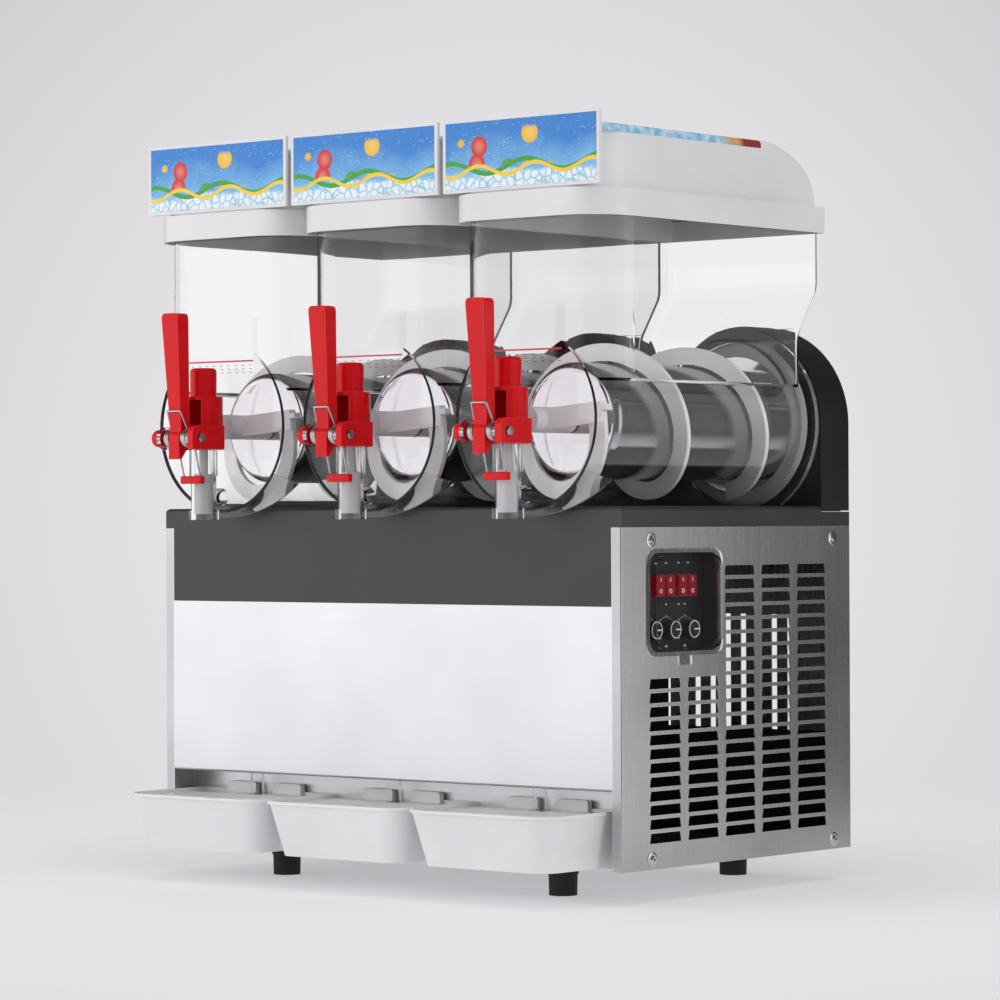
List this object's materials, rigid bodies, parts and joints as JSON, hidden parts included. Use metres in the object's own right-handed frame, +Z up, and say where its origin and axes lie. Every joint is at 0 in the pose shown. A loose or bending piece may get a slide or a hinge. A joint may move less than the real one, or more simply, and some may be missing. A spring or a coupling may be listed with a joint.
{
  "type": "slushie machine",
  "caption": "Counter-top frozen drink machine: clear bowls with helical augers over chilled barrels, lever taps, drip trays and a louvred steel base.",
  "frame": {"origin": "middle of the footprint, bowls and taps included, at the floor under the feet", "axes": "+X to the machine's right as seen from the front, +Y to its rear, +Z up"},
  "size_m": [0.6201, 0.4769, 0.762],
  "materials": {
    "side_steel": "brushed",
    "front_steel": "satin",
    "barrel_steel": "polished",
    "inner_steel": "satin",
    "screw_steel": "polished",
    "spring_steel": "polished",
    "motor_metal": "satin",
    "grey_fascia": "satin",
    "black_plastic": "satin",
    "white_plastic": "satin",
    "auger_plastic": "satin",
    "piston_plastic": "satin",
    "red_plastic": "gloss",
    "rocker_red": "gloss",
    "fan_plastic": "satin",
    "foot_rubber": "matte",
    "seal_rubber": "matte",
    "clear_bowl": "clear",
    "clear_tube": "clear",
    "clear_cover": "clear"
  },
  "bodies": {
    "cabinet": {"base_pan": "inner_steel", "feet": "foot_rubber", "side_panel_left": "side_steel", "side_panel_right": "side_steel", "front_panel": "front_steel", "lower_front_panel": "front_steel", "rear_panel": "side_steel", "top_deck": "grey_fascia", "rear_housing": "black_plastic", "panel_screws": "screw_steel", "evaporator_barrels": "barrel_steel", "bowl_seals": "seal_rubber", "gearmotors": "motor_metal", "drain_tubes": "clear_tube", "control_housing": "black_plastic", "condenser": "inner_steel", "compressor": "motor_metal"},
    "cover": {"control_cover": "clear_cover"},
    "fan": {"condenser_fan": "fan_plastic"},
    "rocker_1": {"rocker_switch_1": "rocker_red"},
    "rocker_2": {"rocker_switch_2": "rocker_red"},
    "rocker_3": {"rocker_switch_3": "rocker_red"},
    "rocker_4": {"rocker_switch_4": "rocker_red"},
    "rocker_5": {"rocker_switch_5": "rocker_red"},
    "knob_1": {"thermostat_knob_1": "black_plastic"},
    "knob_2": {"thermostat_knob_2": "black_plastic"},
    "knob_3": {"thermostat_knob_3": "black_plastic"},
    "bowl_1": {"bowl_1": "clear_bowl", "tap_body_1": "red_plastic", "tap_pivot_1": "screw_steel", "tap_spring_1": "spring_steel"},
    "lid_1": {"lid_1": "white_plastic"},
    "auger_1": {"auger_1": "auger_plastic", "drive_shaft_1": "barrel_steel"},
    "lever_1": {"tap_lever_1": "red_plastic"},
    "piston_1": {"tap_piston_1": "piston_plastic"},
    "tray_1": {"drip_tray_1": "white_plastic"},
    "grille_1": {"drip_grille_1": "white_plastic"},
    "bowl_2": {"bowl_2": "clear_bowl", "tap_body_2": "red_plastic", "tap_pivot_2": "screw_steel", "tap_spring_2": "spring_steel"},
    "lid_2": {"lid_2": "white_plastic"},
    "auger_2": {"auger_2": "auger_plastic", "drive_shaft_2": "barrel_steel"},
    "lever_2": {"tap_lever_2": "red_plastic"},
    "piston_2": {"tap_piston_2": "piston_plastic"},
    "tray_2": {"drip_tray_2": "white_plastic"},
    "grille_2": {"drip_grille_2": "white_plastic"},
    "bowl_3": {"bowl_3": "clear_bowl", "tap_body_3": "red_plastic", "tap_pivot_3": "screw_steel", "tap_spring_3": "spring_steel"},
    "lid_3": {"lid_3": "white_plastic"},
    "auger_3": {"auger_3": "auger_plastic", "drive_shaft_3": "barrel_steel"},
    "lever_3": {"tap_lever_3": "red_plastic"},
    "piston_3": {"tap_piston_3": "piston_plastic"},
    "tray_3": {"drip_tray_3": "white_plastic"},
    "grille_3": {"drip_grille_3": "white_plastic"}
  },
  "joints": [
    {"name": "cover_swing", "type": "hinge", "parent": "cabinet", "child": "cover", "pos_m": [0.3053, -0.04325, 0.3415], "axis": [0, -1, 0], "range_deg": [0, 100]},
    {"name": "fan_spin", "type": "hinge", "parent": "cabinet", "child": "fan", "pos_m": [-0.24, 0.04675, 0.1336], "axis": [1, 0, 0], "continuous": true},
    {"name": "rocker_1_tip", "type": "hinge", "parent": "cabinet", "child": "rocker_1", "pos_m": [0.2808, -0.082, 0.305], "axis": [0, 1, 0], "range_deg": [-5, 5]},
    {"name": "rocker_2_tip", "type": "hinge", "parent": "cabinet", "child": "rocker_2", "pos_m": [0.2808, -0.05875, 0.305], "axis": [0, 1, 0], "range_deg": [-5, 5]},
    {"name": "rocker_3_tip", "type": "hinge", "parent": "cabinet", "child": "rocker_3", "pos_m": [0.2808, -0.04325, 0.305], "axis": [0, 1, 0], "range_deg": [-5, 5]},
    {"name": "rocker_4_tip", "type": "hinge", "parent": "cabinet", "child": "rocker_4", "pos_m": [0.2808, -0.0231, 0.305], "axis": [0, 1, 0], "range_deg": [-5, 5]},
    {"name": "rocker_5_tip", "type": "hinge", "parent": "cabinet", "child": "rocker_5", "pos_m": [0.2808, -0.0076, 0.305], "axis": [0, 1, 0], "range_deg": [-5, 5]},
    {"name": "knob_1_turn", "type": "hinge", "parent": "cabinet", "child": "knob_1", "pos_m": [0.2838, -0.07325, 0.262], "axis": [1, 0, 0], "range_deg": [0, 270]},
    {"name": "knob_2_turn", "type": "hinge", "parent": "cabinet", "child": "knob_2", "pos_m": [0.2838, -0.04325, 0.262], "axis": [1, 0, 0], "range_deg": [0, 270]},
    {"name": "knob_3_turn", "type": "hinge", "parent": "cabinet", "child": "knob_3", "pos_m": [0.2838, -0.01325, 0.262], "axis": [1, 0, 0], "range_deg": [0, 270]},
    {"name": "bowl_1_pull", "type": "slide", "parent": "cabinet", "child": "bowl_1", "axis": [0, -1, 0], "range_m": [0, 0.36]},
    {"name": "lid_1_lift", "type": "slide", "parent": "bowl_1", "child": "lid_1", "axis": [0, 0, 1], "range_m": [0, 0.12]},
    {"name": "auger_1_spin", "type": "hinge", "parent": "cabinet", "child": "auger_1", "pos_m": [-0.204, 0, 0.467], "axis": [0, 1, 0], "continuous": true},
    {"name": "lever_1_pull", "type": "hinge", "parent": "bowl_1", "child": "lever_1", "pos_m": [-0.204, -0.22425, 0.4545], "axis": [1, 0, 0], "range_deg": [0, 45], "stiffness_Nm_per_rad": 1.5, "springref_deg": -5.73},
    {"name": "piston_1_lift", "type": "slide", "parent": "bowl_1", "child": "piston_1", "axis": [0, 0, 1], "range_m": [0, 0.0299]},
    {"name": "tray_1_pull", "type": "slide", "parent": "cabinet", "child": "tray_1", "axis": [0, -1, 0], "range_m": [0, 0.14]},
    {"name": "grille_1_lift", "type": "slide", "parent": "tray_1", "child": "grille_1", "axis": [0, 0, 1], "range_m": [0, 0.012]},
    {"name": "bowl_2_pull", "type": "slide", "parent": "cabinet", "child": "bowl_2", "axis": [0, -1, 0], "range_m": [0, 0.36]},
    {"name": "lid_2_lift", "type": "slide", "parent": "bowl_2", "child": "lid_2", "axis": [0, 0, 1], "range_m": [0, 0.12]},
    {"name": "auger_2_spin", "type": "hinge", "parent": "cabinet", "child": "auger_2", "pos_m": [0, 0, 0.467], "axis": [0, 1, 0], "continuous": true},
    {"name": "lever_2_pull", "type": "hinge", "parent": "bowl_2", "child": "lever_2", "pos_m": [0, -0.22425, 0.4545], "axis": [1, 0, 0], "range_deg": [0, 45], "stiffness_Nm_per_rad": 1.5, "springref_deg": -5.73},
    {"name": "piston_2_lift", "type": "slide", "parent": "bowl_2", "child": "piston_2", "axis": [0, 0, 1], "range_m": [0, 0.0299]},
    {"name": "tray_2_pull", "type": "slide", "parent": "cabinet", "child": "tray_2", "axis": [0, -1, 0], "range_m": [0, 0.14]},
    {"name": "grille_2_lift", "type": "slide", "parent": "tray_2", "child": "grille_2", "axis": [0, 0, 1], "range_m": [0, 0.012]},
    {"name": "bowl_3_pull", "type": "slide", "parent": "cabinet", "child": "bowl_3", "axis": [0, -1, 0], "range_m": [0, 0.36]},
    {"name": "lid_3_lift", "type": "slide", "parent": "bowl_3", "child": "lid_3", "axis": [0, 0, 1], "range_m": [0, 0.12]},
    {"name": "auger_3_spin", "type": "hinge", "parent": "cabinet", "child": "auger_3", "pos_m": [0.204, 0, 0.467], "axis": [0, 1, 0], "continuous": true},
    {"name": "lever_3_pull", "type": "hinge", "parent": "bowl_3", "child": "lever_3", "pos_m": [0.204, -0.22425, 0.4545], "axis": [1, 0, 0], "range_deg": [0, 45], "stiffness_Nm_per_rad": 1.5, "springref_deg": -5.73},
    {"name": "piston_3_lift", "type": "slide", "parent": "bowl_3", "child": "piston_3", "axis": [0, 0, 1], "range_m": [0, 0.0299]},
    {"name": "tray_3_pull", "type": "slide", "parent": "cabinet", "child": "tray_3", "axis": [0, -1, 0], "range_m": [0, 0.14]},
    {"name": "grille_3_lift", "type": "slide", "parent": "tray_3", "child": "grille_3", "axis": [0, 0, 1], "range_m": [0, 0.012]}
  ],
  "couplings": [
    {"joint": "piston_1_lift", "follows": "lever_1_pull", "m_per_rad": 0.038},
    {"joint": "piston_2_lift", "follows": "lever_2_pull", "m_per_rad": 0.038},
    {"joint": "piston_3_lift", "follows": "lever_3_pull", "m_per_rad": 0.038}
  ]
}
